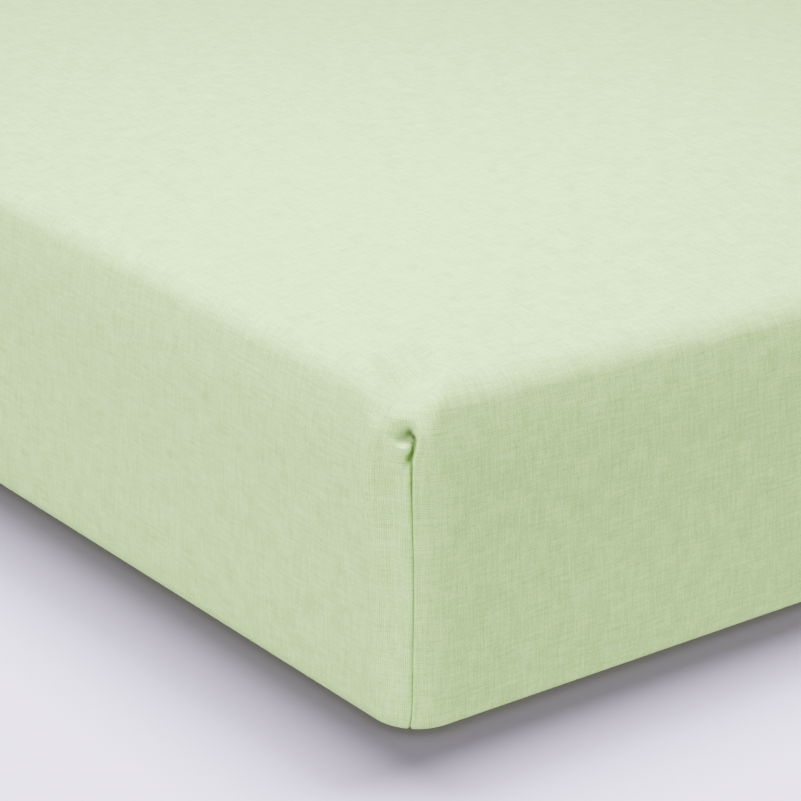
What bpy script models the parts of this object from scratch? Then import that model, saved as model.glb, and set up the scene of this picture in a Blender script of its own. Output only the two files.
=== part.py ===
"""A fitted sheet stretched over a cot mattress.

Metres, +Z up. The mattress lies flat, its long side along X, with the origin under its middle at
floor level. Two closed bodies are built: the sheet, one thin cloth that covers the top and the
sides and turns under all round, open inside its hem, and the plain mattress inside it.

Both are made of rings. A ring is a rounded rectangle that runs once around the mattress at one
place of the upright section, from the middle of the top, over the edge, down the side and under.
"""

import math
from collections import namedtuple

import bmesh
import bpy

# ---------------------------------------------------------------- overall sizes
LENGTH = 1.200  # over the cloth, along X
WIDTH = 0.600  # over the cloth, along Y
HEIGHT = 0.120  # from the floor to the top's edge
CROWN = 0.003  # the middle of the top stands this far above its edge
CROWN_REACH = 0.170  # the top is level from this inset inwards
CORNER_RADIUS = 0.021  # of the outline seen from above

CLOTH_THICKNESS = 0.0015
GAP = 0.00045  # between the cloth and the mattress where they touch

# ---------------------------------------------------------------- upright section
# The section is a chain of arcs that turns from level, over the edge, to level again underneath.
# The upright side takes up what is left of the height.
Bend = namedtuple("Bend", "part radius turn_degrees steps")

SHEET_BENDS = (
    Bend("top edge", 0.011, 76.0, 5),
    Bend("shoulder", 0.107, 14.0, 2),
    Bend("side", None, 0.0, 2),
    Bend("foot", 0.120, 8.0, 1),
    Bend("bottom edge", 0.009, 82.0, 4),
)

# The mattress is rounder at its edges than the cloth, so that the cloth bridges them.
MATTRESS_BENDS = (
    Bend("top edge", 0.017, 76.0, 4),
    Bend("shoulder", 0.105, 14.0, 2),
    Bend("side", None, 0.0, 2),
    Bend("foot", 0.118, 8.0, 1),
    Bend("bottom edge", 0.015, 82.0, 4),
)
MATTRESS_CORNER_RADIUS = 0.035

# ---------------------------------------------------------------- top and underside
# Rings of the top, from the middle outwards, and of the tucked-in cloth, from the edge inwards.
Ring = namedtuple("Ring", "part inset corner_radius")

TOP_RINGS = (
    Ring("level middle", CROWN_REACH, 0.060),
    Ring("crown", 0.090, 0.030),
    Ring("crown", 0.040, 0.014),
)
TUCK_RINGS = (
    Ring("flat band", 0.034, 0.030),
    Ring("drawn in", 0.052, 0.060),
    Ring("hem", 0.070, 0.095),
)
SMALLEST_RADIUS = 0.010  # no ring turns a corner tighter than this

# The hem's elastic draws the top edge of each short end down in its middle.
END_SAG = 0.006
END_SAG_TOP_REACH = 0.150  # the sag has faded out this far in from the edge
END_SAG_SIDE_REACH = 0.070  # and this far down the side

# ---------------------------------------------------------------- corners
# Columns of points run down the cloth. Near a corner seam they stand at these distances from it,
# along the outline, and the rest of a side is divided evenly.
SEAM_COLUMNS = (0.0018, 0.0038, 0.0068, 0.0110, 0.0165, 0.0260, 0.0500)
LONG_SIDE_COLUMNS = 7
SHORT_SIDE_COLUMNS = 3
MATTRESS_SEAM_COLUMNS = (0.0095, 0.0190, 0.0285)
MATTRESS_LONG_SIDE_COLUMNS = 2
MATTRESS_SHORT_SIDE_COLUMNS = 4

SEAM_DEPTH = 0.0012  # the groove that the corner seam pulls into the cloth
SEAM_HALF_WIDTH = 0.0035
SEAM_TOP = 0.030  # the seam starts this far down the cloth from the start of the top edge
SEAM_FADE = 0.006

PUCKER_RUN = 0.0225  # the cloth is gathered into a small hollow here, where the seam starts
PUCKER_DEPTH = 0.0022
PUCKER_HALF_WIDTH = 0.0055
PUCKER_HALF_HEIGHT = 0.0085

CORNER_PULL = 0.0045  # the seam pulls the top's corner down and inwards
CORNER_PULL_HALF_WIDTH = 0.022
CORNER_PULL_RUN = 0.006
CORNER_PULL_HALF_HEIGHT = 0.026

CORNER_GIVE = 0.0065  # the mattress gives way this much under the pulled corner
CORNER_GIVE_HALF_WIDTH = 0.045
CORNER_GIVE_HALF_HEIGHT = 0.046

# ---------------------------------------------------------------- finishes
SHEET_COLOUR = (0.62, 0.74, 0.47)
SHEET_ROUGHNESS = 0.85
MATTRESS_COLOUR = (0.80, 0.79, 0.75)
MATTRESS_ROUGHNESS = 0.9

Station = namedtuple("Station", "inset height run out up corner_radius")
Column = namedtuple("Column", "corner around from_seam on_end")


def clear_scene():
    for thing in list(bpy.context.scene.objects):
        bpy.data.objects.remove(thing, do_unlink=True)


def make_material(name, colour, roughness):
    material = bpy.data.materials.new(name)
    material.use_nodes = True
    shader = material.node_tree.nodes["Principled BSDF"]
    shader.inputs["Base Color"].default_value = (*colour, 1.0)
    shader.inputs["Roughness"].default_value = roughness
    shader.inputs["Metallic"].default_value = 0.0
    return material


# ---------------------------------------------------------------- section
def side_length(bends, height):
    """The upright side's length: what the arcs leave of the height."""
    angle = 0.0
    for bend in bends:
        turned = angle + math.radians(bend.turn_degrees)
        if bend.radius:
            height -= bend.radius * (math.cos(angle) - math.cos(turned))
        angle = turned
    return height


def section(bends, height, foot_height, corner_radius):
    """The stations from the start of the top edge to the end of the bottom edge.

    Each has its inset from the widest outline, its height, how far down the cloth it lies, the
    outward direction of the surface as a level and an upward part, and its corners' radius.
    """
    upright = side_length(bends, height)
    angle = 0.0
    reach = 0.0
    drop = 0.0
    run = 0.0
    points = [(reach, drop, run, angle)]
    for bend in bends:
        for _ in range(bend.steps):
            if bend.radius:
                turn = math.radians(bend.turn_degrees) / bend.steps
                reach += bend.radius * (math.sin(angle + turn) - math.sin(angle))
                drop += bend.radius * (math.cos(angle) - math.cos(angle + turn))
                run += bend.radius * turn
                angle += turn
            else:
                drop += upright / bend.steps
                run += upright / bend.steps
            points.append((reach, drop, run, angle))
    widest = max(point[0] for point in points)
    stations = []
    for reach, drop, run, angle in points:
        inset = widest - reach
        level = foot_height + height - drop
        radius = max(corner_radius - inset, SMALLEST_RADIUS)
        stations.append(Station(inset, level, run, math.sin(angle), math.cos(angle), radius))
    return stations


def crown_height(inset, edge_inset):
    """How far the top stands above its edge at this inset: a parabola that ends level."""
    share = (inset - edge_inset) / (CROWN_REACH - edge_inset)
    share = min(max(share, 0.0), 1.0)
    return CROWN * (1.0 - (1.0 - share) ** 2)


def with_top(stations, rings, inward):
    """Puts the rings of the crowned top before the section's own stations."""
    edge = stations[0]
    top = []
    for ring in rings:
        level = edge.height + crown_height(ring.inset, edge.inset)
        inset = ring.inset - inward
        top.append(Station(inset, level, edge.inset - inset, 0.0, 1.0, ring.corner_radius))
    return top + stations


def with_tuck(stations, rings):
    """Puts the rings of the cloth under the mattress after the section's own stations."""
    edge = stations[-1]
    tuck = []
    for ring in rings:
        run = edge.run + ring.inset - edge.inset
        tuck.append(Station(ring.inset, edge.height, run, 0.0, -1.0, ring.corner_radius))
    return stations + tuck


# ---------------------------------------------------------------- rings
def seam_distances(near_seam, end, steps):
    """Distances along the outline from a seam to the middle of a side, with both ends."""
    start = near_seam[-1]
    even = [start + (end - start) * step / steps for step in range(1, steps + 1)]
    return [0.0, *near_seam, *even]


def columns(near_seam, long_steps, short_steps, corner_radius):
    """The columns once around, counter-clockwise from above, from the middle of the front side.

    around runs from -2, the middle of the side before the corner, over -1 and 1, where the corner's
    arc starts and ends, to 2, the middle of the next side. The seam is at 0.
    """
    arc = corner_radius * math.pi / 4.0
    along = (LENGTH / 2.0 - corner_radius, long_steps, False)
    across = (WIDTH / 2.0 - corner_radius, short_steps, True)
    made = []
    for corner in range(4):
        before, after = (across, along) if corner % 2 else (along, across)
        for side, (half, steps, on_end) in ((-1, before), (1, after)):
            distances = seam_distances(near_seam, arc + half, steps)
            # Before a seam they run towards it, and each seam and each middle is used once.
            distances = distances[:0:-1] if side < 0 else distances[:-1]
            for distance in distances:
                around = distance / arc if distance <= arc else 1.0 + (distance - arc) / half
                made.append(Column(corner, side * around, side * distance, on_end))
    return made


def plan_point(column, inset, radius):
    """Where a ring crosses a column, seen from above, and the direction that points outwards."""
    half_x = LENGTH / 2.0 - inset
    half_y = WIDTH / 2.0 - inset
    arc_share = min(max(column.around, -1.0), 1.0)
    # The first corner is at +X -Y, and the next ones follow counter-clockwise.
    angle = math.radians(90.0 * column.corner - 45.0 + 45.0 * arc_share)
    out = (math.cos(angle), math.sin(angle))
    sign_x = 1.0 if column.corner in (0, 1) else -1.0
    sign_y = 1.0 if column.corner in (1, 2) else -1.0
    x = sign_x * (half_x - radius) + radius * out[0]
    y = sign_y * (half_y - radius) + radius * out[1]
    along = max(abs(column.around) - 1.0, 0.0)
    if along > 0.0:
        if abs(out[0]) > abs(out[1]):
            y -= sign_y * (half_y - radius) * along
        else:
            x -= sign_x * (half_x - radius) * along
    return x, y, out


def hump(distance, half_width):
    """A soft bump: 1 at no distance, level there, and 0 from the half width on."""
    share = min(abs(distance) / half_width, 1.0)
    return 0.5 + 0.5 * math.cos(math.pi * share)


def ramp(value, start, end):
    """A soft step: 0 at the start and before it, 1 at the end and past it."""
    share = min(max((value - start) / (end - start), 0.0), 1.0)
    return share * share * (3.0 - 2.0 * share)


def corner_pull(column, station):
    """How far the cloth is drawn inwards here by the corner's seam, its pucker and its tension."""
    aside = column.from_seam
    tension = hump(aside, CORNER_PULL_HALF_WIDTH)
    tension *= hump(station.run - CORNER_PULL_RUN, CORNER_PULL_HALF_HEIGHT)
    pucker = hump(aside, PUCKER_HALF_WIDTH)
    pucker *= hump(station.run - PUCKER_RUN, PUCKER_HALF_HEIGHT)
    # The seam's groove levels out where the cloth turns under.
    seam = hump(aside, SEAM_HALF_WIDTH) * station.out
    seam *= ramp(station.run, SEAM_TOP - SEAM_FADE, SEAM_TOP)
    return CORNER_PULL * tension + PUCKER_DEPTH * pucker + SEAM_DEPTH * seam


def end_sag(column, station):
    """How far a short end's top edge has come down here."""
    if not column.on_end:
        return 0.0
    to_middle = max(abs(column.around) - 1.0, 0.0)
    sag = END_SAG * (1.0 - (1.0 - to_middle) ** 2)
    if station.run < 0.0:
        return sag * ramp(-station.run, END_SAG_TOP_REACH, 0.0)
    return sag * ramp(station.run, END_SAG_SIDE_REACH, 0.0)


def corner_give(column, station):
    """How far the mattress gives way under the cloth's corner, so that the cloth bridges it."""
    give = CORNER_GIVE * hump(column.from_seam, CORNER_GIVE_HALF_WIDTH)
    return give * hump(station.run - CORNER_PULL_RUN, CORNER_GIVE_HALF_HEIGHT)


def add_ring(mesh, around, station, drawn_in):
    """One vertex for each column, drawn inwards from the ring by drawn_in(column, station)."""
    ring = []
    for column in around:
        x, y, out = plan_point(column, station.inset, station.corner_radius)
        depth = drawn_in(column, station)
        ring.append(
            mesh.verts.new(
                (
                    x - out[0] * station.out * depth,
                    y - out[1] * station.out * depth,
                    station.height - station.up * depth - end_sag(column, station),
                )
            )
        )
    return ring


def skin(mesh, rings):
    """Joins each ring to the next with quads that face outwards."""
    for upper, lower in zip(rings, rings[1:]):
        count = len(upper)
        for here in range(count):
            there = (here + 1) % count
            mesh.faces.new((upper[here], lower[here], lower[there], upper[there]))


def finish_object(name, mesh, material):
    data = bpy.data.meshes.new(name)
    mesh.to_mesh(data)
    mesh.free()
    data.shade_smooth()
    made = bpy.data.objects.new(name, data)
    data.materials.append(material)
    bpy.context.scene.collection.objects.link(made)
    return made


# ---------------------------------------------------------------- pieces
def make_sheet():
    """The cloth's outer face as an open skin, thickened inwards to a closed body."""
    stations = section(SHEET_BENDS, HEIGHT, 0.0, CORNER_RADIUS)
    stations = with_tuck(with_top(stations, TOP_RINGS, 0.0), TUCK_RINGS)
    around = columns(SEAM_COLUMNS, LONG_SIDE_COLUMNS, SHORT_SIDE_COLUMNS, CORNER_RADIUS)
    mesh = bmesh.new()
    rings = [add_ring(mesh, around, station, corner_pull) for station in stations]
    skin(mesh, rings)
    mesh.faces.new(rings[0])
    material = make_material("sheet_cotton", SHEET_COLOUR, SHEET_ROUGHNESS)
    sheet = finish_object("fitted_sheet", mesh, material)
    cloth = sheet.modifiers.new("cloth thickness", "SOLIDIFY")
    cloth.thickness = CLOTH_THICKNESS
    cloth.offset = -1.0
    cloth.use_even_offset = True
    return sheet


def make_mattress():
    """The plain block inside, with rounder edges than the cloth has."""
    inward = CLOTH_THICKNESS + GAP
    stations = section(MATTRESS_BENDS, HEIGHT - 2.0 * inward, inward, MATTRESS_CORNER_RADIUS)
    stations = with_top(stations, TOP_RINGS, inward)
    stations = [spot._replace(inset=spot.inset + inward) for spot in stations]
    around = columns(
        MATTRESS_SEAM_COLUMNS,
        MATTRESS_LONG_SIDE_COLUMNS,
        MATTRESS_SHORT_SIDE_COLUMNS,
        MATTRESS_CORNER_RADIUS,
    )
    mesh = bmesh.new()
    rings = [add_ring(mesh, around, station, corner_give) for station in stations]
    skin(mesh, rings)
    mesh.faces.new(rings[0])
    mesh.faces.new(rings[-1][::-1])
    material = make_material("mattress_cover", MATTRESS_COLOUR, MATTRESS_ROUGHNESS)
    return finish_object("mattress", mesh, material)


clear_scene()
make_sheet()
make_mattress()
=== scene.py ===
"""The looks of a mint green cotton fitted sheet, stretched over a cot mattress.

Metres, +Z up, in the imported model's frame. The sheet is one thin cloth. It is made of rings that run
once around the mattress: over the top's edge, down the side, under it and around the turned hem. A
place on the cloth has three numbers: its corner, counted counter-clockwise from +X -Y; aside, how
far along the outline it lies from that corner's seam; and run, how far down the cloth it lies from
the start of the top's edge.
"""

import math
from collections import namedtuple

import bpy
import numpy as np
from mathutils import Matrix, Vector, noise


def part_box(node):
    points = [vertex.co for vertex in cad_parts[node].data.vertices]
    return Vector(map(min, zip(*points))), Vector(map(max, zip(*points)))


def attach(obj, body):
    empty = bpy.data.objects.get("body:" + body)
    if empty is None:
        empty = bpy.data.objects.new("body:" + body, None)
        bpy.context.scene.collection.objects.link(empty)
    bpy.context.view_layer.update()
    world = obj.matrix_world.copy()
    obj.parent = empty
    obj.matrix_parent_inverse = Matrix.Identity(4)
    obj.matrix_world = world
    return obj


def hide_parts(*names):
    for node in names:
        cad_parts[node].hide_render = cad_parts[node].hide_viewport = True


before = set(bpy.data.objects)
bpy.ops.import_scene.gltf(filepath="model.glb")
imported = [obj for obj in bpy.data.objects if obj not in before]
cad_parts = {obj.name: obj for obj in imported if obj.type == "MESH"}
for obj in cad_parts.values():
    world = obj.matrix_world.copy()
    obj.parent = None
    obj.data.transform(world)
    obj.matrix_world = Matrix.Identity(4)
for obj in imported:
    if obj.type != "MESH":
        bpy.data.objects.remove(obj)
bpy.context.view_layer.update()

MM = 0.001

# ================================================================ sizes
SHEET_LOW, SHEET_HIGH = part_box("fitted_sheet")
LENGTH = SHEET_HIGH.x - SHEET_LOW.x
WIDTH = SHEET_HIGH.y - SHEET_LOW.y
CROWN = 3.0 * MM  # the middle of the top stands this far above its edge
CROWN_REACH = 170.0 * MM  # the top is level from this inset inwards
HEIGHT = SHEET_HIGH.z - SHEET_LOW.z - CROWN

# The upright section is a chain of arcs and straights that turns from level, over the edge, down and
# under. The upright side has no length of its own: it takes up what is left of the height.
Bend = namedtuple("Bend", "part radius turn_degrees length")

HEM_WIDTH = 10.0 * MM
SHEET_SECTION = (
    Bend("top edge", 11.0 * MM, 76.0, None),
    Bend("shoulder", 107.0 * MM, 14.0, None),
    Bend("side", None, 0.0, None),
    Bend("foot", 120.0 * MM, 8.0, None),
    Bend("bottom edge", 9.0 * MM, 82.0, None),
    Bend("underside", None, 0.0, 60.0 * MM),
    Bend("hem fold", 0.75 * MM, 180.0, None),
    Bend("hem return", None, 0.0, HEM_WIDTH),
)
MATTRESS_SECTION = (
    Bend("top edge", 17.0 * MM, 76.0, None),
    Bend("shoulder", 105.0 * MM, 14.0, None),
    Bend("side", None, 0.0, None),
    Bend("foot", 118.0 * MM, 8.0, None),
    Bend("bottom edge", 15.0 * MM, 82.0, None),
    Bend("underside", None, 0.0, 125.0 * MM),
)
SHEET_CORNER_RADIUS = 21.0 * MM
MATTRESS_CORNER_RADIUS = 35.0 * MM
SMALLEST_RADIUS = 10.0 * MM
MATTRESS_INWARD = 1.95 * MM  # from the cloth's outer face to the mattress, where they touch

# How round the corners of a ring are, by its inset: on the top and under the mattress.
Roundness = namedtuple("Roundness", "inset radius")
TOP_ROUNDNESS = (
    Roundness(14.0 * MM, 10.0 * MM),
    Roundness(40.0 * MM, 14.0 * MM),
    Roundness(90.0 * MM, 30.0 * MM),
    Roundness(170.0 * MM, 60.0 * MM),
)
SHEET_UNDER_ROUNDNESS = (
    Roundness(10.0 * MM, 11.0 * MM),
    Roundness(34.0 * MM, 30.0 * MM),
    Roundness(52.0 * MM, 60.0 * MM),
    Roundness(70.0 * MM, 95.0 * MM),
)
MATTRESS_UNDER_ROUNDNESS = (
    Roundness(15.0 * MM, 22.0 * MM),
    Roundness(140.0 * MM, 50.0 * MM),
)

# ---------------------------------------------------------------- rows and columns
# Rows of points are packed where the cloth is puckered. Each line says how many lead to a run.
# The rows on the top are listed by their runs, in millimetres.
Rows = namedtuple("Rows", "part count to_run")
TOP_RUNS = (-156.0, -126.0, -101.0, -79.0, -61.0, -46.0, -35.0, -26.0, -19.0, -14.0, -10.0, -6.5, -3.0)
TOP_ROWS_END = -30.0 * MM  # from this run on, the rows use the columns of the sides
SHEET_ROWS = (
    Rows("top edge", 12, 14.0 * MM),
    Rows("pucker", 38, 32.0 * MM),
    Rows("side", 42, 118.0 * MM),
    Rows("bottom edge", 10, None),
    Rows("underside", 20, None),
    Rows("hem fold", 5, None),
    Rows("hem return", 2, None),
)
MATTRESS_ROWS = (
    Rows("top edge", 7, 24.0 * MM),
    Rows("side", 12, 100.0 * MM),
    Rows("bottom edge", 8, None),
    Rows("underside", 12, None),
)

# Columns of points stand at these distances from a seam, and then evenly. The rows of the top use
# only these. Further down, each stretch is split into parts, finest at the corner that faces the
# viewer, and under the mattress it is split again for the gathers.
Stretch = namedtuple("Stretch", "to_distance parts near_parts gather_parts")
SHEET_STRETCHES = (
    Stretch(1.2 * MM, 4, 9, 1),
    Stretch(3.4 * MM, 4, 8, 1),
    Stretch(7.0 * MM, 4, 8, 1),
    Stretch(12.0 * MM, 4, 6, 1),
    Stretch(20.0 * MM, 3, 5, 1),
    Stretch(31.0 * MM, 3, 4, 1),
    Stretch(45.0 * MM, 2, 3, 2),
    Stretch(62.0 * MM, 2, 2, 2),
)
MATTRESS_STRETCHES = tuple(Stretch(distance * MM, 1, 1, 1) for distance in (10.0, 20.0, 30.0, 45.0))
EVEN_SPACING = 15.0 * MM
EVEN_GATHER_PARTS = 5
NEAR_CORNER = 0
TOP_ROWS, SIDE_ROWS, GATHERED_ROWS = 0, 1, 2  # a column is used by these rows and all later ones

# ---------------------------------------------------------------- folds beside a seam
# All in millimetres. aside is measured from the seam, at minus on the long side and at plus on the
# short end. run is measured down the cloth.
SeamSpot = namedtuple("SeamSpot", "run aside")
SEAM_LINE = (  # the seam wanders along the corner
    SeamSpot(4.0, 0.0),
    SeamSpot(12.0, 1.4),
    SeamSpot(18.4, 2.4),
    SeamSpot(23.2, 2.9),
    SeamSpot(27.3, 2.3),
    SeamSpot(30.5, 1.3),
    SeamSpot(40.0, 1.3),
    SeamSpot(52.0, 1.6),
    SeamSpot(64.0, 1.9),
    SeamSpot(78.0, 2.0),
    SeamSpot(95.0, 1.8),
    SeamSpot(112.0, 1.6),
    SeamSpot(119.0, 1.2),
    SeamSpot(124.0, 0.3),
    SeamSpot(134.0, 0.0),
)
SEAM_SHIFT_REACH = 14.0  # the cloth beside the seam shifts with it, up to this far aside

# Dents are soft hollows, and ridges where the depth is negative.
Dent = namedtuple("Dent", "part aside run left right up down depth")
PUCKER = (
    Dent("brow over the bowl", -2.6, 16.6, 8.5, 5.0, 6.0, 4.0, -0.9),
    Dent("bowl", -2.8, 22.6, 6.0, 4.0, 6.4, 3.2, 5.6),
    Dent("crease beside the lip", -0.9, 24.9, 2.1, 1.2, 3.8, 4.8, 4.5),
    Dent("tongue", -3.4, 25.5, 2.8, 2.0, 1.6, 1.9, -1.6),
    Dent("leaf", -1.4, 28.8, 3.0, 1.5, 3.4, 4.8, 3.3),
)

# Creases run from one place to another, and fade towards both ends.
Crease = namedtuple("Crease", "part aside run to_aside to_run half_width depth")
CREASES = (
    Crease("ridge beside the seam", -11.6, 14.0, -16.8, 64.0, 3.2, -1.9),
    Crease("trough beside the seam", -7.4, 16.0, -6.0, 112.0, 6.0, 2.7),
    Crease("ridge under the lip", 4.5, 34.0, 5.0, 118.0, 4.0, -0.12),
    Crease("level crease on the end", 2.0, 55.0, 128.0, 51.0, 4.5, -0.28),
    Crease("slack below it", 8.0, 64.0, 90.0, 66.0, 9.0, 0.14),
    Crease("pull from the bowl", -5.0, 19.0, -27.0, 12.0, 3.6, 0.20),
    Crease("pull to the end", 2.0, 21.0, 30.0, 17.0, 4.0, 0.16),
)

# Below the pucker the long side's cloth turns down into the seam, and rises steeply out of it again
# at the lip, where the end's cloth laps over it.
SeamDepth = namedtuple("SeamDepth", "run depth")
SEAM_DEPTHS = (
    SeamDepth(31.0, 2.5),
    SeamDepth(36.0, 1.6),
    SeamDepth(44.0, 1.0),
    SeamDepth(60.0, 0.8),
    SeamDepth(180.0, 0.7),
)
SEAM_TOP = 30.0
SEAM_END = 180.0
SEAM_FADE = 5.0
SEAM_SLOPE_TOP, SEAM_SLOPE_FOOT = -1.5, -0.1  # how far aside
LIP_WALL_FOOT, LIP_WALL_TOP = -0.05, 0.30
LIP_PROUD = 0.22
LIP_CREST = 0.45
LIP_WIDTH = 2.6
LIP_TOP = 15.0
LIP_END = 126.0

# The sewn corner is drawn down, and the mattress gives way under it.
CORNER_PULL = Dent("pull of the seam", -1.8, 3.2, 21.0, 14.0, 22.5, 21.5, 8.0)
CORNER_GIVE = 6.5
CORNER_GIVE_HALF_WIDTH = 45.0
CORNER_GIVE_HALF_HEIGHT = 46.0

# No two corners are alike. facing is 1 where the short end lies after the seam, going around
# counter-clockwise, and -1 where it lies before it.
Corner = namedtuple("Corner", "facing wander pucker creases")
CORNERS = (
    Corner(1, 1.0, 1.0, 1.0),
    Corner(-1, 0.7, 0.85, 1.2),
    Corner(1, -0.5, 0.75, 0.8),
    Corner(-1, 0.3, 0.9, 1.1),
)

# ---------------------------------------------------------------- slack and gathers
END_SAG = 6.0 * MM  # the short ends' top edges are drawn down in their middles
END_SAG_TOP_REACH = 150.0 * MM
END_SAG_SIDE_REACH = 70.0 * MM

Unevenness = namedtuple("Unevenness", "size height")
UNEVENNESS = (
    Unevenness(110.0 * MM, 0.45 * MM),
    Unevenness(34.0 * MM, 0.10 * MM),
    Unevenness(11.0 * MM, 0.018 * MM),
)
UNEVEN_STEP = (17.3, 4.1, 9.7)  # each size is taken from another place in the noise
UNEVEN_TO_RUN = 112.0 * MM  # the unevenness fades out from here
UNEVEN_END_RUN = 128.0 * MM  # to here, on the bottom edge

# The hem's gathers are unevenly spaced, by the wander, and some are lower than others, by the change.
Wave = namedtuple("Wave", "size count start")  # count is for once around the hem
GATHERS = 190
GATHER_WANDER = (Wave(2.2, 13.0, 0.0), Wave(1.4, 29.0, 1.0))
GATHER_CHANGE = Wave(0.28, 17.0, 2.0)
GATHER_LIFT = 1.35 * MM
GATHER_START = 16.0 * MM  # from the end of the bottom edge inwards
GATHER_FULL = 53.0 * MM
HEM_LIFT = 0.3 * MM
MATTRESS_RECESS = 1.45 * MM  # the foam gives way over the tucked-in cloth
MATTRESS_RECESS_START, MATTRESS_RECESS_FULL = 14.0 * MM, 24.0 * MM  # insets
MATTRESS_RECESS_FADE, MATTRESS_RECESS_END = 80.0 * MM, 92.0 * MM

STITCH_FROM_FOLD = 8.4 * MM
STITCH_LENGTH = 2.3 * MM
STITCH_SPACING = 3.1 * MM
STITCH_RADIUS = 0.17 * MM
STITCH_SIDES = 6
StitchRing = namedtuple("StitchRing", "along width")
STITCH_RINGS = (
    StitchRing(0.0, 0.35),
    StitchRing(0.15, 0.95),
    StitchRing(0.85, 0.95),
    StitchRing(1.0, 0.35),
)

# ---------------------------------------------------------------- cloths
Cloth = namedtuple(
    "Cloth",
    "thread_spacing wander slub_length slub_share mottle_share"
    " thread_depth slack_depth sheen light dark",
)
COTTON = Cloth(
    thread_spacing=0.58 * MM,
    wander=1.2,
    slub_length=5.5 * MM,
    slub_share=0.8,
    mottle_share=0.55,
    thread_depth=0.05 * MM,
    slack_depth=0.035 * MM,
    sheen=0.1,
    light=(0.54, 0.79, 0.31),
    dark=(0.26, 0.43, 0.125),
)
TICKING = Cloth(
    thread_spacing=0.9 * MM,
    wander=0.4,
    slub_length=25.0 * MM,
    slub_share=0.5,
    mottle_share=0.3,
    thread_depth=0.15 * MM,
    slack_depth=0.05 * MM,
    sheen=0.0,
    light=(0.82, 0.81, 0.77),
    dark=(0.68, 0.67, 0.62),
)
CLOTH_SPECULAR = 0.3
DARK_SHADE, LIGHT_SHADE = 0.2, 1.6  # the weave's shade where a cloth is darkest and lightest
ROUGH_BETWEEN, ROUGH_ON_TOP = 0.95, 0.82  # between threads and on top of them
SLACK_SIZE = 8.0 * MM
NOISE_ROUGHNESS = 0.55
NOISE_MEAN = 0.5

# The plain weave's noises count threads across a thread, and slub lengths along it.
WANDER_SCALE = 0.45
LONG_SLUB_SCALE = 0.5
SHORT_SLUB_SCALE = 0.95
SHORT_PER_LONG = 5.0  # this many go into the length of a long one
SHORT_SLUB_SHARE = 0.9  # of the long slubs' strength
SLUB_HEIGHT = 1.2
CROSSING_LIFT = 0.55  # where threads cross, one is lifted and the other lowered by this
THREADS_MEET = 0.2  # and they meet this softly

PLY_LENGTH = 0.25 * MM
PLY_DEPTH = 0.05 * MM
SEWING_THREAD_ROUGHNESS = 0.6

CUT_MAP = "cut"  # the cloth laid flat, in metres
FOLD_SHADE_SHARE = "folded in"  # how far each point lies inside a fold, from 0 to 1, and so how much painted shade it gets
FOLDED_IN_FROM, FOLDED_IN_TO = 0.4, 4.5  # the folds' depths at 0 and at 1, in millimetres
# Painted shade: deep in the seam's folds the cloth's colour is mixed towards this greyer green.
FOLD_SHADE_COLOUR = (0.43, 0.56, 0.29)
BAKE_MAP = "OFBake"
BAKE_MAP_SIZE = 1.62  # the flat cloth's longer side fits in this

# ---------------------------------------------------------------- camera, floor and lights
VIEW_AZIMUTH = 53.43  # degrees
VIEW_ELEVATION = 22.30
PHOTO_PIXELS = 801
FOCAL_PIXELS = 3600.0
SENSOR_MM = 36.0
CORNER_PIXEL = (403.3, 752.3)  # where the sheet's box has its near lower corner in the photo
CORNER_DISTANCE = 1.144  # how far back from that corner the camera stands

# A dark floor under strong lamps of its own looks pale, and takes little of the cloth's green.
FLOOR_SIZE = 16.0
FLOOR_DROP = 0.4 * MM  # below the sheet
FLOOR_COLOUR = (0.117, 0.1045, 0.141)
FLOOR_GLOW = (0.112, 0.098, 0.106)  # keeps the deepest shadow grey
BACKDROP_COLOUR = (1.6, 1.5, 2.05)  # seen past the floor, and giving no light
WORLD_COLOUR = (0.02, 0.02, 0.02)

# Each lamp lights either the cloth or the floor, so that the floor keeps its own soft shadow. Places
# and sizes are in metres, and powers in watts.
CLOTH, FLOOR = "cloth", "floor"
Lamp = namedtuple("Lamp", "name place target size power lights")
NEAR_CORNER_PLACE = (0.50, -0.25, 0.08)
LAMPS = (
    Lamp("over_corner", (0.50, -0.20, 0.70), NEAR_CORNER_PLACE, 0.35, 10.3, CLOTH),
    Lamp("over_far_end", (-0.44, 0.02, 0.60), (-0.44, 0.02, 0.12), 0.4, 4.2, CLOTH),
    Lamp("front_top", (0.668, -0.878, 1.206), NEAR_CORNER_PLACE, 0.5, 11.4, CLOTH),
    Lamp("over_back", (-0.489, 0.672, 2.98), NEAR_CORNER_PLACE, 2.1, 6.0, CLOTH),
    Lamp("left_side", (-0.10, -1.73, 0.219), NEAR_CORNER_PLACE, 1.0, 22.6, CLOTH),
    Lamp("left_low", (0.58, -1.20, -0.21), NEAR_CORNER_PLACE, 0.6, 6.7, CLOTH),
    Lamp("right_low", (1.44, -0.215, -0.21), NEAR_CORNER_PLACE, 0.6, 10.9, CLOTH),
    Lamp("behind", (0.0, 1.9, 0.2), (0.0, 0.3, 0.06), 1.4, 30.0, CLOTH),
    Lamp("far_end", (-2.1, 0.0, 0.2), (-0.6, 0.0, 0.06), 1.0, 22.0, CLOTH),
    Lamp("floor_key_left", (-0.90, 2.47, 5.88), NEAR_CORNER_PLACE, 2.35, 4400.0, FLOOR),
    Lamp("floor_key_right", (-2.36, 0.85, 5.88), NEAR_CORNER_PLACE, 2.35, 3540.0, FLOOR),
    Lamp("floor_sky", (0.53, -0.27, 7.0), NEAR_CORNER_PLACE, 14.0, 1417.0, FLOOR),
)


# ================================================================ soft shapes
def ramp(value, start, end):
    """A soft step: 0 at the start and before it, 1 at the end and past it."""
    share = np.clip((value - start) / (end - start), 0.0, 1.0)
    return share * share * (3.0 - 2.0 * share)


def hump(share):
    """A soft bump: 1 at no distance, level there, and 0 from a share of 1 on."""
    return 0.5 + 0.5 * np.cos(math.pi * np.clip(np.abs(share), 0.0, 1.0))


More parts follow.
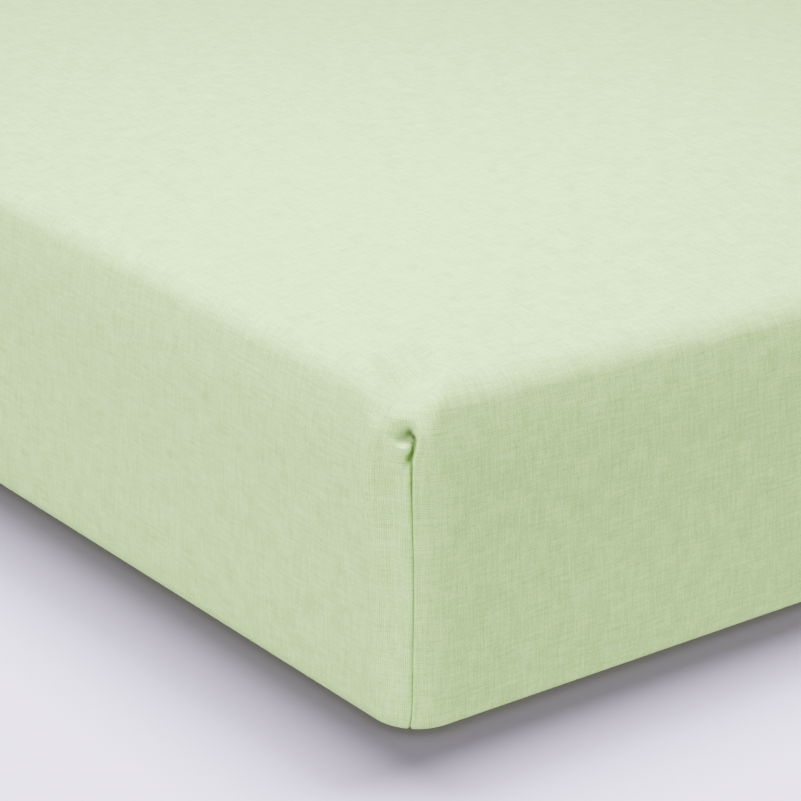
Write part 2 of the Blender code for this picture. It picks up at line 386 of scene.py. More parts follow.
# ================================================================ section
Arc = namedtuple("Arc", "part run reach drop angle radius length")


def upright_length(bends, height):
    """The upright side's length: what the arcs down to the bottom edge leave of the height."""
    angle = 0.0
    for bend in bends:
        turned = angle + math.radians(bend.turn_degrees)
        if bend.radius:
            height -= bend.radius * (math.cos(angle) - math.cos(turned))
        angle = turned
        if bend.part == "bottom edge":
            return height


def section_arcs(bends, height):
    """Each bend with where it starts: its run, reach outwards, drop and the cloth's angle there."""
    run = reach = drop = angle = 0.0
    arcs = {}
    for bend in bends:
        turn = math.radians(bend.turn_degrees)
        length = bend.length
        if bend.radius:
            length = bend.radius * turn
        elif length is None:
            length = upright_length(bends, height)
        arcs[bend.part] = Arc(bend.part, run, reach, drop, angle, bend.radius, length)
        if bend.radius:
            reach += bend.radius * (math.sin(angle + turn) - math.sin(angle))
            drop += bend.radius * (math.cos(angle) - math.cos(angle + turn))
        else:
            reach += length * math.cos(angle)
            drop += length * math.sin(angle)
        run += length
        angle += turn
    return arcs


def section_points(arcs, run):
    """Reach, drop and angle at each run. The top, before the first arc, is level."""
    reach = np.minimum(run, 0.0)
    drop = np.zeros_like(run)
    angle = np.zeros_like(run)
    for arc in arcs.values():
        inside = run > arc.run
        gone = np.minimum(run[inside] - arc.run, arc.length)
        if arc.radius:
            turned = arc.angle + gone / arc.radius
            reach[inside] = arc.reach + arc.radius * (np.sin(turned) - math.sin(arc.angle))
            drop[inside] = arc.drop + arc.radius * (math.cos(arc.angle) - np.cos(turned))
            angle[inside] = turned
        else:
            reach[inside] = arc.reach + gone * math.cos(arc.angle)
            drop[inside] = arc.drop + gone * math.sin(arc.angle)
            angle[inside] = arc.angle
    return reach, drop, angle


# ================================================================ forms
# A form is a skin's shape, the sheet's or the mattress's. Its last three fields are functions of the
# places: how far they shift along the outline, are drawn inwards and are lifted underneath.
Form = namedtuple(
    "Form", "arcs widest inward corner_radius under_roundness stretches shifts draws_in lifts"
)
Places = namedtuple("Places", "corner aside run")  # arrays, with a value for each point


def make_form(bends, inward, **shape):
    """A form whose section starts this far inward of the cloth's outer face."""
    arcs = section_arcs(bends, HEIGHT - 2.0 * inward)
    return Form(arcs=arcs, widest=arcs["side"].reach, inward=inward, **shape)


EIGHTH_TURN = math.pi / 4.0  # from a seam to where the straight side starts


def is_end(corner, aside):
    """Whether a place lies on one of the two short ends."""
    return (corner % 2 == 0) == (aside > 0.0)


def half_side(on_end, inset, radius):
    """A ring's length from a seam to the middle of a side."""
    return np.where(on_end, WIDTH, LENGTH) / 2.0 - inset - radius * (1.0 - EIGHTH_TURN)


def share_of_side(form, places):
    """How far each place lies on its way from the seam to the middle of the side: -1 to 1."""
    on_end = is_end(places.corner, places.aside)
    return places.aside / half_side(on_end, form.inward, form.corner_radius)


def ring_radius(form, inset, run):
    """How round the corners of each place's ring are."""
    top = np.interp(inset, *zip(*TOP_ROUNDNESS))
    side = np.maximum(form.corner_radius + form.inward - inset, SMALLEST_RADIUS)
    under = np.interp(inset, *zip(*form.under_roundness))
    return np.where(run < 0.0, top, np.where(run > form.arcs["underside"].run, under, side))


def corner_signs(corner):
    """Which way each corner lies from the middle of the sheet, along x and along y."""
    sign_x = np.where((corner == 0) | (corner == 1), 1.0, -1.0)
    sign_y = np.where((corner == 1) | (corner == 2), 1.0, -1.0)
    return sign_x, sign_y


def plan_points(form, places, inset, radius):
    """Seen from above: where each place lies, and which way is outwards there."""
    ring = half_side(is_end(places.corner, places.aside), inset, radius)
    along = share_of_side(form, places) * ring + form.shifts(places)
    turned = np.clip(along / radius, -EIGHTH_TURN, EIGHTH_TURN)
    angle = np.radians(90.0 * places.corner - 45.0) + turned
    past = along - turned * radius
    sign_x, sign_y = corner_signs(places.corner)
    out_x = np.cos(angle)
    out_y = np.sin(angle)
    x = sign_x * (LENGTH / 2.0 - inset - radius) + radius * out_x - past * out_y
    y = sign_y * (WIDTH / 2.0 - inset - radius) + radius * out_y + past * out_x
    return x, y, out_x, out_y


def crown_height(inset, edge_inset):
    """How far the top has risen towards its middle, past the inset of its edge."""
    share = np.clip((inset - edge_inset) / (CROWN_REACH - edge_inset), 0.0, 1.0)
    return CROWN * (1.0 - (1.0 - share) ** 2)


def end_sag(form, places):
    """How far the short ends' top edges have come down."""
    share = np.abs(share_of_side(form, places))
    sag = END_SAG * (1.0 - (1.0 - share) ** 2) * is_end(places.corner, places.aside)
    above = 1.0 - ramp(-places.run, 0.0, END_SAG_TOP_REACH)
    below = 1.0 - ramp(places.run, 0.0, END_SAG_SIDE_REACH)
    return sag * np.where(places.run < 0.0, above, below)


def surface_points(form, places):
    """The position of each place and the way outwards there, as rows of x, y and z."""
    reach, drop, angle = section_points(form.arcs, places.run)
    inset = form.widest - reach + form.inward
    radius = ring_radius(form, inset, places.run)
    x, y, out_x, out_y = plan_points(form, places, inset, radius)
    out = np.sin(angle)
    up = np.cos(angle)
    depth = form.draws_in(places)
    level = HEIGHT - form.inward - drop - end_sag(form, places) + form.lifts(form, places, inset)
    level += np.where(places.run < 0.0, crown_height(inset, form.widest + form.inward), 0.0)
    points = np.stack([x - out_x * out * depth, y - out_y * out * depth, level - up * depth], axis=1)
    return points, np.stack([out_x * out, out_y * out, up], axis=1)


# ---------------------------------------------------------------- the sheet's folds
def of_corner(places, field):
    """What CORNERS says in a field for each place's corner."""
    return np.array([getattr(row, field) for row in CORNERS])[places.corner]


def beside_seam(places):
    """Each place's distance from the seam and down the cloth, in millimetres, ends at plus."""
    facing = of_corner(places, "facing")
    return places.aside * facing / MM, places.run / MM, facing


def seam_shift(places):
    """How far the cloth beside a seam lies along the outline from the corner's own line."""
    aside, run, facing = beside_seam(places)
    shift = np.interp(run, *zip(*SEAM_LINE)) * of_corner(places, "wander")
    return shift * hump(aside / SEAM_SHIFT_REACH) * facing * MM


def dent_depth(dent, aside, run):
    """A dent's depth at each place, in millimetres: an oval with its own reach on each side."""
    across = (aside - dent.aside) / np.where(aside < dent.aside, dent.left, dent.right)
    down = (run - dent.run) / np.where(run < dent.run, dent.up, dent.down)
    return dent.depth * hump(np.hypot(across, down))


def crease_depth(crease, aside, run):
    """A crease's depth at each place, in millimetres. It fades along its length and to its sides."""
    way_aside = crease.to_aside - crease.aside
    way_run = crease.to_run - crease.run
    length = math.hypot(way_aside, way_run)
    along = ((aside - crease.aside) * way_aside + (run - crease.run) * way_run) / length**2
    off = ((aside - crease.aside) * way_run - (run - crease.run) * way_aside) / length
    return crease.depth * hump(off / crease.half_width) * np.sqrt(hump(2.0 * along - 1.0))


def seam_fold_depth(places):
    """The pucker and the seam below it, in millimetres. The end's cloth laps over both."""
    aside, run, _ = beside_seam(places)
    depth = np.zeros_like(run)
    strength = of_corner(places, "pucker")
    for dent in PUCKER:
        depth += strength * dent_depth(dent, aside, run)
    sewn = ramp(run, SEAM_TOP - SEAM_FADE, SEAM_TOP) * ramp(run, SEAM_END, SEAM_END - SEAM_FADE)
    slope = ramp(aside, SEAM_SLOPE_TOP, SEAM_SLOPE_FOOT)
    depth += np.interp(run, *zip(*SEAM_DEPTHS)) * sewn * slope
    return depth * (1.0 - ramp(aside, LIP_WALL_FOOT, LIP_WALL_TOP))


def sheet_depth(places):
    """How far inwards the folds beside a seam draw the cloth."""
    aside, run, _ = beside_seam(places)
    depth = dent_depth(CORNER_PULL, aside, run) + seam_fold_depth(places)
    strength = of_corner(places, "creases")
    for crease in CREASES:
        depth += strength * crease_depth(crease, aside, run)
    lip = ramp(run, LIP_TOP, LIP_TOP + SEAM_FADE) * ramp(run, LIP_END, LIP_END - SEAM_FADE)
    lip *= ramp(aside, 0.0, LIP_CREST) * ramp(aside, LIP_WIDTH, LIP_CREST)
    return (depth - LIP_PROUD * lip) * MM


def gather_lift(form, places, inset):
    """The hem's elastic draws the cloth under the mattress into small folds."""
    turn = (2.0 * places.corner + 1.0 + share_of_side(form, places)) / 8.0 * 2.0 * math.pi
    phase = GATHERS * turn
    for wave in GATHER_WANDER:
        phase += wave.size * np.sin(wave.count * turn + wave.start)
    change = GATHER_CHANGE.size * np.sin(GATHER_CHANGE.count * turn + GATHER_CHANGE.start)
    height = (0.5 + 0.5 * np.sin(phase)) * (1.0 - GATHER_CHANGE.size + change)
    inwards = places.run - form.arcs["underside"].run
    return ramp(inwards, GATHER_START, GATHER_FULL) * (HEM_LIFT + GATHER_LIFT * height)


# ---------------------------------------------------------------- the mattress's give
def no_shift(places):
    """The mattress has no seam to follow."""
    return np.zeros_like(places.run)


def mattress_depth(places):
    """The mattress gives way at its corners, so that the cloth bridges them."""
    give = CORNER_GIVE * hump(places.aside / MM / CORNER_GIVE_HALF_WIDTH)
    return give * hump((places.run / MM - CORNER_PULL.run) / CORNER_GIVE_HALF_HEIGHT) * MM


def mattress_lift(form, places, inset):
    """The foam gives way over the tucked-in cloth."""
    pressed = ramp(inset, MATTRESS_RECESS_START, MATTRESS_RECESS_FULL)
    pressed *= ramp(inset, MATTRESS_RECESS_END, MATTRESS_RECESS_FADE)
    return MATTRESS_RECESS * pressed * (places.run > form.arcs["underside"].run)


SHEET_FORM = make_form(
    SHEET_SECTION,
    0.0,
    corner_radius=SHEET_CORNER_RADIUS,
    under_roundness=SHEET_UNDER_ROUNDNESS,
    stretches=SHEET_STRETCHES,
    shifts=seam_shift,
    draws_in=sheet_depth,
    lifts=gather_lift,
)
MATTRESS_FORM = make_form(
    MATTRESS_SECTION,
    MATTRESS_INWARD,
    corner_radius=MATTRESS_CORNER_RADIUS,
    under_roundness=MATTRESS_UNDER_ROUNDNESS,
    stretches=MATTRESS_STRETCHES,
    shifts=no_shift,
    draws_in=mattress_depth,
    lifts=mattress_lift,
)


# ================================================================ rings into a mesh
Column = namedtuple("Column", "corner aside rows")
Ring = namedtuple("Ring", "run columns first_point")  # columns are numbers in the list of all


def side_distances(form, corner, half):
    """Distances from a seam to the middle of a side, each with the rows that use it."""
    last = form.stretches[-1].to_distance
    even_count = round((half - last) / EVEN_SPACING)
    stretches = list(form.stretches)
    for step in range(1, even_count + 1):
        to_distance = last + (half - last) * step / even_count
        stretches.append(Stretch(to_distance, 1, 1, EVEN_GATHER_PARTS))
    found = [(0.0, TOP_ROWS)]
    for stretch in stretches:
        start = found[-1][0]
        parts = stretch.near_parts if corner == NEAR_CORNER else stretch.parts
        count = parts * stretch.gather_parts
        for step in range(1, count + 1):
            rows = SIDE_ROWS if step % stretch.gather_parts == 0 else GATHERED_ROWS
            rows = TOP_ROWS if step == count else rows
            found.append((start + (stretch.to_distance - start) * step / count, rows))
    return found


def make_columns(form):
    """All columns once around, counter-clockwise from the middle of the front side."""
    columns = []
    for corner in range(len(CORNERS)):
        for side in (-1.0, 1.0):
            half = float(half_side(is_end(corner, side), form.inward, form.corner_radius))
            found = side_distances(form, corner, half)
            found = found[:0:-1] if side < 0.0 else found[:-1]
            columns += [Column(corner, side * distance, rows) for distance, rows in found]
    return columns


def make_rings(form, rows, columns):
    """The rings from the middle of the top down to the end of the section."""
    found = [(run * MM, SIDE_ROWS if run * MM > TOP_ROWS_END else TOP_ROWS) for run in TOP_RUNS]
    found.append((0.0, SIDE_ROWS))
    for part in rows:
        start = found[-1][0]
        end = part.to_run
        if end is None:
            end = form.arcs[part.part].run + form.arcs[part.part].length
        uses = GATHERED_ROWS if start > UNEVEN_END_RUN else SIDE_ROWS
        for step in range(1, part.count + 1):
            found.append((start + (end - start) * step / part.count, uses))
    rings = []
    first_point = 0
    for run, uses in found:
        used = [number for number, column in enumerate(columns) if column.rows <= uses]
        rings.append(Ring(run, used, first_point))
        first_point += len(used)
    return rings


def join_rings(upper, lower):
    """Faces between two rings. The lower ring may have columns that the upper one lacks."""
    place = {column: index for index, column in enumerate(lower.columns)}
    count = len(upper.columns)
    faces = []
    for index, column in enumerate(upper.columns):
        following = (index + 1) % count
        start = place[column]
        end = place[upper.columns[following]]
        end += len(lower.columns) if end <= start else 0
        below = [lower.first_point + k % len(lower.columns) for k in range(start, end + 1)]
        faces.append([upper.first_point + index, *below, upper.first_point + following])
    return faces


def fill_ring(ring, columns, points, upwards):
    """A grid of faces inside a level ring, between its four seam columns. Gives its new points."""
    seams = [index for index, number in enumerate(ring.columns) if columns[number].aside == 0.0]
    count = len(ring.columns)
    outline = [ring.first_point + (seams[0] + k) % count for k in range(count)]
    across = (seams[1] - seams[0]) % count
    along = (seams[2] - seams[1]) % count
    right, back = outline[: across + 1], outline[across : across + along + 1]
    left, front = outline[across + along : 2 * across + along + 1], outline[2 * across + along :]
    front, back, left = front + outline[:1], back[::-1], left[::-1]
    grid = np.full((along + 1, across + 1), -1)
    grid[:, 0], grid[:, -1], grid[0, :], grid[-1, :] = front, back, left, right
    u = np.linspace(0.0, 1.0, along + 1)[:, None, None]
    v = np.linspace(0.0, 1.0, across + 1)[None, :, None]
    edge = points[front][:, None], points[back][:, None], points[left][None], points[right][None]
    inner = (1.0 - v) * edge[0] + v * edge[1] + (1.0 - u) * edge[2] + u * edge[3]
    inner -= (1.0 - u) * ((1.0 - v) * points[front[0]] + v * points[back[0]])
    inner -= u * ((1.0 - v) * points[front[-1]] + v * points[back[-1]])
    new = grid < 0
    grid[new] = len(points) + np.arange(new.sum())
    faces = np.stack([grid[:-1, :-1], grid[1:, :-1], grid[1:, 1:], grid[:-1, 1:]], axis=2)
    faces = faces.reshape(-1, 4)
    return inner[new], (faces if upwards else faces[:, ::-1]).tolist()


def unevenness(points):
    """A soft noise of a few sizes."""
    total = np.zeros(len(points))
    for number, part in enumerate(UNEVENNESS):
        offset = Vector(UNEVEN_STEP) * number
        total += [part.height * noise.noise(Vector(p) / part.size + offset) for p in points.tolist()]
    return total


def make_mesh(name, points, faces):
    """A smooth-shaded piece of points and faces, in the scene."""
    mesh = bpy.data.meshes.new(name)
    mesh.from_pydata(points.tolist(), [], faces)
    mesh.shade_smooth()
    piece = bpy.data.objects.new(name, mesh)
    bpy.context.scene.collection.objects.link(piece)
    return piece


def side_of_faces(corner, aside, starts):
    """The side of the mattress that each face lies on: 0 in front, and on counter-clockwise."""
    off_seam = aside != 0.0
    side = np.where(off_seam, (corner + (aside > 0.0)) % 4, 0)
    return np.maximum.reduceat(side, starts)


def add_cut_map(piece, form, places, is_level):
    """A UV map in metres of the cloth laid flat: the top, with a side's flap along each edge."""
    mesh = piece.data
    count = len(mesh.loops)
    vertex = np.zeros(count, int)
    mesh.loops.foreach_get("vertex_index", vertex)
    starts = np.zeros(len(mesh.polygons), int)
    mesh.polygons.foreach_get("loop_start", starts)
    sizes = np.diff(np.append(starts, count))
    corner, aside, run = (values[vertex] for values in places)
    side = np.repeat(side_of_faces(corner, aside, starts), sizes)
    level = np.repeat(np.logical_and.reduceat(is_level[vertex], starts), sizes)
    place = np.zeros(len(mesh.vertices) * 3)
    mesh.vertices.foreach_get("co", place)
    place = place.reshape(-1, 3)[vertex]

    on_end = side % 2 == 1
    reach = section_points(form.arcs, np.minimum(run, form.arcs["foot"].run))[0]
    inset = form.widest - reach
    radius = np.maximum(form.corner_radius - inset, SMALLEST_RADIUS)
    half = half_side(on_end, inset, radius)
    share = np.abs(aside) / half_side(on_end, form.inward, form.corner_radius)
    along = half * (1.0 - share)
    outwards = np.where(on_end, LENGTH, WIDTH) / 2.0 - form.widest + run
    sign_x, sign_y = corner_signs(corner)
    across_x = np.where(side == 1, 1.0, -1.0)
    across_y = np.where(side == 2, 1.0, -1.0)
    u = np.where(on_end, across_x * outwards, sign_x * along)
    v = np.where(on_end, sign_y * along, across_y * outwards)
    cut = np.stack([np.where(level, place[:, 0], u), np.where(level, place[:, 1], v)], axis=1)
    for name, scale, shift in ((CUT_MAP, 1.0, 0.0), (BAKE_MAP, 1.0 / BAKE_MAP_SIZE, 0.5)):
        layer = mesh.uv_layers.new(name=name)
        layer.data.foreach_set("uv", (cut * scale + shift).ravel())


def mark_painted_fold_shade(piece, places):
    """Marks the points that lie deep in the seams, where shade is painted into the cloth's colour."""
    mark = piece.data.attributes.new(FOLD_SHADE_SHARE, "FLOAT", "POINT")
    mark.data.foreach_set("value", ramp(seam_fold_depth(places), FOLDED_IN_FROM, FOLDED_IN_TO))


def make_skin(name, form, rows, closed_below):
    """A skin over the top and down the sides, and across the underside if it is closed below."""
    columns = make_columns(form)
    rings = make_rings(form, rows, columns)
    corner = np.array([column.corner for column in columns])
    aside = np.array([column.aside for column in columns])
    places = Places(
        np.concatenate([corner[ring.columns] for ring in rings]),
        np.concatenate([aside[ring.columns] for ring in rings]),
        np.concatenate([np.full(len(ring.columns), ring.run) for ring in rings]),
    )
    points, normals = surface_points(form, places)
    faces = []
    for upper, lower in zip(rings, rings[1:]):
        faces += join_rings(upper, lower)
    fills = [(rings[0], True)] + ([(rings[-1], False)] if closed_below else [])
    for ring, upwards in fills:
        new_points, new_faces = fill_ring(ring, columns, points, upwards)
        points = np.concatenate([points, new_points])
        normals = np.concatenate([normals, np.tile([0.0, 0.0, 1.0], (len(new_points), 1))])
        faces += new_faces
        places = Places(*[np.append(v, np.full(len(new_points), v[ring.first_point])) for v in places])
    fading = 1.0 - ramp(places.run, UNEVEN_TO_RUN, UNEVEN_END_RUN)
    points = points + normals * (unevenness(points) * fading)[:, None]
    piece = make_mesh(name, points, faces)
    is_level = (places.run <= 0.0) | (closed_below & (places.run > form.arcs["underside"].run))
    add_cut_map(piece, form, places, is_level)
    # Only the sheet gets painted shade in its folds.
    if form.draws_in is sheet_depth:
        mark_painted_fold_shade(piece, places)
    return piece


# ================================================================ the hem's stitches
def make_stitches(name, form):
    """One short round stitch after another, all along the hem."""
    run = form.arcs["hem fold"].run - STITCH_FROM_FOLD
    places = []
    for corner in range(len(CORNERS)):
        for side in (-1.0, 1.0):
            half = float(half_side(is_end(corner, side), 0.0, form.corner_radius))
            count = round(half / STITCH_SPACING)
            for number in range(count):
                middle = (number + 0.5) * half / count
                for ring in STITCH_RINGS:
                    places.append((corner, side * (middle + (ring.along - 0.5) * STITCH_LENGTH), run))
    corner, aside, run = (np.array(values) for values in zip(*places))
    centres, normals = surface_points(form, Places(corner, aside, run))
    centres = centres.reshape(-1, len(STITCH_RINGS), 3)
    normals = normals.reshape(centres.shape)
    ways = centres[:, -1:] - centres[:, :1]
    ways /= np.linalg.norm(ways, axis=2, keepdims=True)
    across = np.cross(ways, normals)
    width = np.array([ring.width for ring in STITCH_RINGS])[None, :, None] * STITCH_RADIUS
    rings = []
    for number in range(STITCH_SIDES):
        angle = 2.0 * math.pi * number / STITCH_SIDES
        rings.append(centres + width * (math.cos(angle) * across + math.sin(angle) * normals))
    points = np.stack(rings, axis=2).reshape(-1, 3)
    faces = []
    per_stitch = STITCH_SIDES * len(STITCH_RINGS)
    for first in range(0, len(points), per_stitch):
        for ring in range(len(STITCH_RINGS) - 1):
            start = first + ring * STITCH_SIDES
            for number in range(STITCH_SIDES):
                here = start + number
                following = start + (number + 1) % STITCH_SIDES
                faces.append([here, following, following + STITCH_SIDES, here + STITCH_SIDES])
        faces.append([first + number for number in reversed(range(STITCH_SIDES))])
        faces.append([first + per_stitch - STITCH_SIDES + number for number in range(STITCH_SIDES)])
    return make_mesh(name, points, faces)


# ================================================================ node groups
MIX_INPUTS, MIX_OUTPUT = (0, 6, 7), 2  # a Mix node's sockets for colours


class Nodes:
    """Adds nodes to a material or a group, each in one line. Colours are given without alpha."""

    def __init__(self, tree):
        self.tree = tree

    def add(self, kind, inputs=None, **settings):
        node = self.tree.nodes.new(kind)
        for name, value in settings.items():
            setattr(node, name, value)
        for name, value in (inputs or {}).items():
            socket = node.inputs[name]
            if isinstance(value, bpy.types.NodeSocket):
                self.tree.links.new(value, socket)
            else:
                socket.default_value = (*value, 1.0) if socket.type == "RGBA" else value
        return node

    def math(self, operation, *values):
        return self.add("ShaderNodeMath", dict(enumerate(values)), operation=operation).outputs[0]

    def vector(self, operation, *values):
        inputs = dict(enumerate(values))
        return self.add("ShaderNodeVectorMath", inputs, operation=operation).outputs[0]

    def noise(self, vector, scale, detail=2.0):
        inputs = {"Vector": vector, "Scale": scale, "Detail": detail, "Roughness": NOISE_ROUGHNESS}
        return self.add("ShaderNodeTexNoise", inputs).outputs["Fac"]

    def spread(self, value, start=0.0, end=1.0, low=0.0, high=1.0):
        """A value that lay between start and end, spread between low and high."""
        inputs = dict(enumerate((value, start, end, low, high)))
        return self.add("ShaderNodeMapRange", inputs).outputs[0]

    def bump(self, height, distance, normal=None):
        inputs = {"Height": height, "Distance": distance}
        if normal:
            inputs["Normal"] = normal
        return self.add("ShaderNodeBump", inputs).outputs[0]

    def mix(self, share, first, second):
        """A colour between two, by a share from 0 to 1."""
        inputs = dict(zip(MIX_INPUTS, (share, first, second)))
        return self.add("ShaderNodeMix", inputs, data_type="RGBA").outputs[MIX_OUTPUT]


def new_group(name, numbers, outputs):
    """A group that takes a Vector and numbers, given with their usual values, and puts out numbers."""
    group = bpy.data.node_groups.new(name, "ShaderNodeTree")
    group.interface.new_socket("Vector", in_out="INPUT", socket_type="NodeSocketVector")
    for number, value in numbers.items():
        socket = group.interface.new_socket(number, in_out="INPUT", socket_type="NodeSocketFloat")
        socket.default_value = value
    for output in outputs:
        group.interface.new_socket(output, in_out="OUTPUT", socket_type="NodeSocketFloat")
    nodes = Nodes(group)
    return group, nodes, nodes.add("NodeGroupInput").outputs, nodes.add("NodeGroupOutput").inputs


def plain_weave_group():
    """Threads that go over and under one another, each a little uneven, with thicker slubs.

    Shade is about 1 on top of a thread and 0 between threads. Slubs is about 0, and more along a
    thick stretch of thread. Height is both together.
    """
    usual = {
        "Thread Spacing": COTTON.thread_spacing,
        "Wander": COTTON.wander,
        "Slub Length": COTTON.slub_length,
    }
    group, nodes, given, out = new_group("plain weave", usual, ("Height", "Shade", "Slubs"))
    across = nodes.math("DIVIDE", 1.0, given["Thread Spacing"])
    along = nodes.math("DIVIDE", 1.0, given["Slub Length"])
    threads = []
    streaks = []
    for axis in range(2):
        scales = [across, along] if axis == 0 else [along, across]
        stretch = nodes.add("ShaderNodeCombineXYZ", dict(enumerate(scales))).outputs[0]
        place = nodes.vector("MULTIPLY", given["Vector"], stretch)
        sideways = nodes.noise(place, WANDER_SCALE, detail=1.0)
        wander = nodes.math("SUBTRACT", sideways, NOISE_MEAN)
        long_slubs = nodes.noise(place, LONG_SLUB_SCALE, detail=1.0)
        shorter = (1.0, SHORT_PER_LONG, 1.0) if axis == 0 else (SHORT_PER_LONG, 1.0, 1.0)
        short_place = nodes.vector("MULTIPLY", place, shorter)
        short_slubs = nodes.noise(short_place, SHORT_SLUB_SCALE, detail=1.0)
        streaks.append(nodes.math("MULTIPLY_ADD", short_slubs, SHORT_SLUB_SHARE, long_slubs))
        number = nodes.add("ShaderNodeSeparateXYZ", {0: place}).outputs[axis]
        number = nodes.math("MULTIPLY_ADD", wander, given["Wander"], number)
        threads.append(nodes.math("COSINE", nodes.math("MULTIPLY", number, math.pi)))
    crossing = nodes.math("MULTIPLY", nodes.math("MULTIPLY", *threads), CROSSING_LIFT)
    warp = nodes.math("SUBTRACT", nodes.math("ABSOLUTE", threads[0]), crossing)
    weft = nodes.math("ADD", nodes.math("ABSOLUTE", threads[1]), crossing)
    woven = nodes.math("SMOOTH_MAX", warp, weft, THREADS_MEET)
    mean_streaks = 2.0 * NOISE_MEAN * (1.0 + SHORT_SLUB_SHARE)
    slubs = nodes.math("SUBTRACT", nodes.math("ADD", *streaks), mean_streaks)
    group.links.new(nodes.math("MULTIPLY_ADD", slubs, SLUB_HEIGHT, woven), out["Height"])
    group.links.new(woven, out["Shade"])
    group.links.new(slubs, out["Slubs"])
    return group


def soft_slack_group():
    """A soft mottling of the cloth's surface, from small slack places between the threads' pulls."""
    group, nodes, given, out = new_group("soft slack", {"Size": SLACK_SIZE}, ("Height",))
    scale = nodes.math("DIVIDE", 1.0, given["Size"])
    group.links.new(nodes.noise(given["Vector"], scale), out["Height"])
    return group


# ================================================================ materials
def new_material(name):
    material = bpy.data.materials.new(name)
    material.use_nodes = True
    material.node_tree.nodes.clear()
    return material, Nodes(material.node_tree)


def spaced(inputs):
    """Inputs under the names that their sockets have."""
    return {name.replace("_", " "): value for name, value in inputs.items()}


def use_group(nodes, group, **inputs):
    return nodes.add("ShaderNodeGroup", spaced(inputs), node_tree=group).outputs


def finish_surface(nodes, **inputs):
    """The shader and the material's output."""
    shader = nodes.add("ShaderNodeBsdfPrincipled", spaced(inputs))
    nodes.add("ShaderNodeOutputMaterial", {"Surface": shader.outputs[0]})


def woven_material(name, cloth, weave, slack):
    """Plain-weave cloth, light where a thread lies on top and darker between the threads."""
    material, nodes = new_material(name)
    cut = nodes.add("ShaderNodeUVMap", uv_map=CUT_MAP).outputs[0]
    woven = use_group(
        nodes,
        weave,
        Vector=cut,
        Thread_Spacing=cloth.thread_spacing,
        Wander=cloth.wander,
        Slub_Length=cloth.slub_length,
    )
    uneven = use_group(nodes, slack, Vector=cut)
    share = nodes.math("MULTIPLY_ADD", woven["Slubs"], cloth.slub_share, woven["Shade"])
    mottle = nodes.math("SUBTRACT", uneven["Height"], NOISE_MEAN)
    share = nodes.math("MULTIPLY_ADD", mottle, cloth.mottle_share, share)
    colour = nodes.mix(nodes.spread(share, DARK_SHADE, LIGHT_SHADE), cloth.dark, cloth.light)
    # Painted shade: deep in the seam's folds the colour is mixed towards a greyer green.
    if cloth is COTTON:
        painted_fold_shade = nodes.add("ShaderNodeAttribute", attribute_name=FOLD_SHADE_SHARE).outputs["Fac"]
        colour = nodes.mix(painted_fold_shade, colour, FOLD_SHADE_COLOUR)
    slack_bump = nodes.bump(uneven["Height"], cloth.slack_depth)
    finish_surface(
        nodes,
        Base_Color=colour,
        Roughness=nodes.spread(woven["Shade"], low=ROUGH_BETWEEN, high=ROUGH_ON_TOP),
        Normal=nodes.bump(woven["Height"], cloth.thread_depth, slack_bump),
        Specular_IOR_Level=CLOTH_SPECULAR,
        Sheen_Weight=cloth.sheen,
    )
    return material


def thread_material(name, light, dark):
    """Sewing thread, with the fine shadows between its plies."""
    material, nodes = new_material(name)
    place = nodes.add("ShaderNodeTexCoord").outputs["Object"]
    plies = nodes.noise(place, 1.0 / PLY_LENGTH)
    finish_surface(
        nodes,
        Base_Color=nodes.mix(plies, dark, light),
        Roughness=SEWING_THREAD_ROUGHNESS,
        Normal=nodes.bump(plies, PLY_DEPTH),
    )
    return material


def floor_material():
    material, nodes = new_material("pale_floor")
    finish_surface(
        nodes,
        Base_Color=FLOOR_COLOUR,
        Roughness=1.0,
        Specular_IOR_Level=0.0,
        Emission_Color=FLOOR_GLOW,
        Emission_Strength=1.0,
    )
    return material


# ================================================================ camera, floor and lights
def way_to(azimuth, elevation):
    """The way from the object to a viewer. At azimuth 0 the viewer looks along +Y."""
    azimuth, elevation = math.radians(azimuth), math.radians(elevation)
    level = math.cos(elevation)
    return Vector((math.sin(azimuth) * level, -math.cos(azimuth) * level, math.sin(elevation)))


def place_facing(piece, place, back):
    """Puts a camera or a lamp at a place, with its back to a given way."""
    right = Vector((-back.y, back.x, 0.0))
    right = right.normalized() if right.length > 0.0 else Vector((1.0, 0.0, 0.0))
    turn = Matrix((right, back.cross(right), back)).transposed().to_4x4()
    piece.matrix_world = Matrix.Translation(place) @ turn


def add_camera():
    data = bpy.data.cameras.new("photo_view")
    data.sensor_width = SENSOR_MM
    data.lens = FOCAL_PIXELS / PHOTO_PIXELS * SENSOR_MM
    camera = bpy.data.objects.new("photo_view", data)
    bpy.context.scene.collection.objects.link(camera)
    back = way_to(VIEW_AZIMUTH, VIEW_ELEVATION)
    right = Vector((0.0, 0.0, 1.0)).cross(back).normalized()
    up = back.cross(right)
    middle = (PHOTO_PIXELS - 1) / 2.0
    aside, down = ((pixel - middle) / FOCAL_PIXELS * CORNER_DISTANCE for pixel in CORNER_PIXEL)
    corner = Vector((LENGTH / 2.0, -WIDTH / 2.0, 0.0))
    place_facing(camera, corner + back * CORNER_DISTANCE - right * aside + up * down, back)
    bpy.context.scene.camera = camera


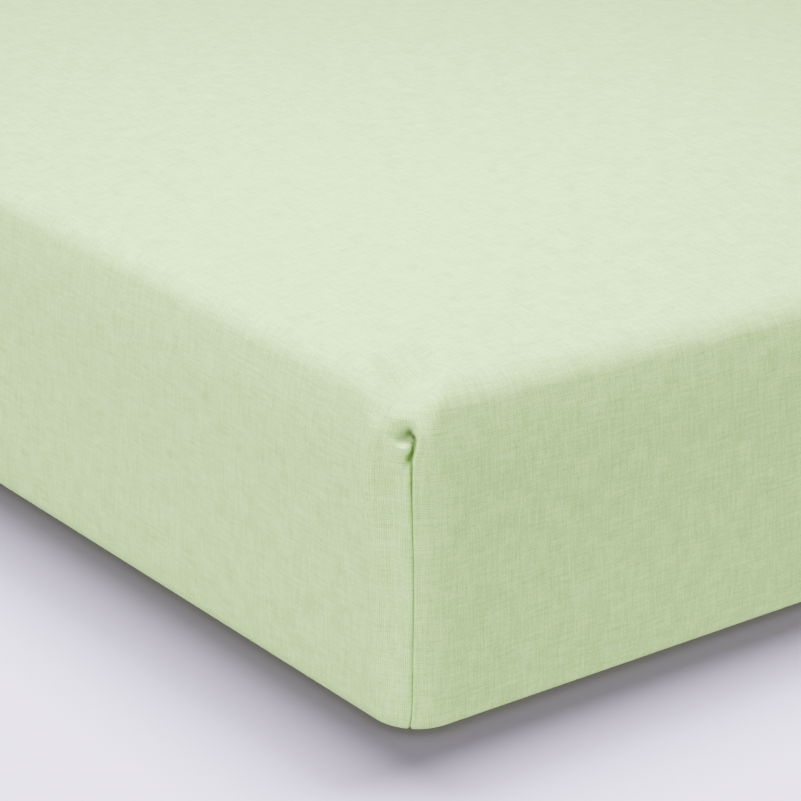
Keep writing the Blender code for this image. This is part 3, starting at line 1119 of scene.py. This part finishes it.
def add_lamp(lamp, lit):
    """Adds a lamp. lit has a collection of the pieces that each kind of lamp lights.

    The floor throws no shadow on the cloth, and the cloth throws its shadow on the floor.
    """
    data = bpy.data.lights.new(lamp.name, "AREA")
    data.shape = "DISK"
    data.size = lamp.size
    data.energy = lamp.power
    piece = bpy.data.objects.new(lamp.name, data)
    piece.visible_camera = False
    bpy.context.scene.collection.objects.link(piece)
    back = (Vector(lamp.place) - Vector(lamp.target)).normalized()
    place_facing(piece, Vector(lamp.place), back)
    piece.light_linking.receiver_collection = lit[lamp.lights]
    if lamp.lights == CLOTH:
        piece.light_linking.blocker_collection = lit[CLOTH]


def add_floor():
    """A floor under the sheet, which throws no light back on it."""
    half = FLOOR_SIZE / 2.0
    corners = [(-half, -half), (half, -half), (half, half), (-half, half)]
    points = np.array([(x, y, -FLOOR_DROP) for x, y in corners])
    floor = make_mesh("floor", points, [[0, 1, 2, 3]])
    floor.data.materials.append(floor_material())
    floor.visible_diffuse = False
    return floor


def add_world():
    world = bpy.data.worlds.new("studio")
    world.use_nodes = True
    world.node_tree.nodes.clear()
    nodes = Nodes(world.node_tree)
    seen = nodes.add("ShaderNodeLightPath").outputs["Is Camera Ray"]
    colour = nodes.mix(seen, WORLD_COLOUR, BACKDROP_COLOUR)
    background = nodes.add("ShaderNodeBackground", {"Color": colour})
    nodes.add("ShaderNodeOutputWorld", {"Surface": background.outputs[0]})
    bpy.context.scene.world = world


# ================================================================ the object
def build():
    weave = plain_weave_group()
    slack = soft_slack_group()
    mattress = make_skin("cot_mattress", MATTRESS_FORM, MATTRESS_ROWS, True)
    sheet = make_skin("sheet_cloth", SHEET_FORM, SHEET_ROWS, False)
    stitches = make_stitches("hem_stitches", SHEET_FORM)
    sheet.data.materials.append(woven_material("mint_cotton", COTTON, weave, slack))
    mattress.data.materials.append(woven_material("mattress_ticking", TICKING, weave, slack))
    stitches.data.materials.append(thread_material("mint_thread", COTTON.light, COTTON.dark))
    for piece in (mattress, sheet, stitches):
        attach(piece, "root")
    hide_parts("mattress")
    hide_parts("fitted_sheet")
    return mattress, sheet, stitches


lit = {}
for kind, pieces in ((CLOTH, build()), (FLOOR, [add_floor()])):
    lit[kind] = bpy.data.collections.new("lit_" + kind)
    for piece in pieces:
        lit[kind].objects.link(piece)
for lamp in LAMPS:
    add_lamp(lamp, lit)
add_world()
add_camera()
bpy.context.scene.view_settings.view_transform = "AgX"
bpy.context.scene.view_settings.look = "AgX - Medium High Contrast"
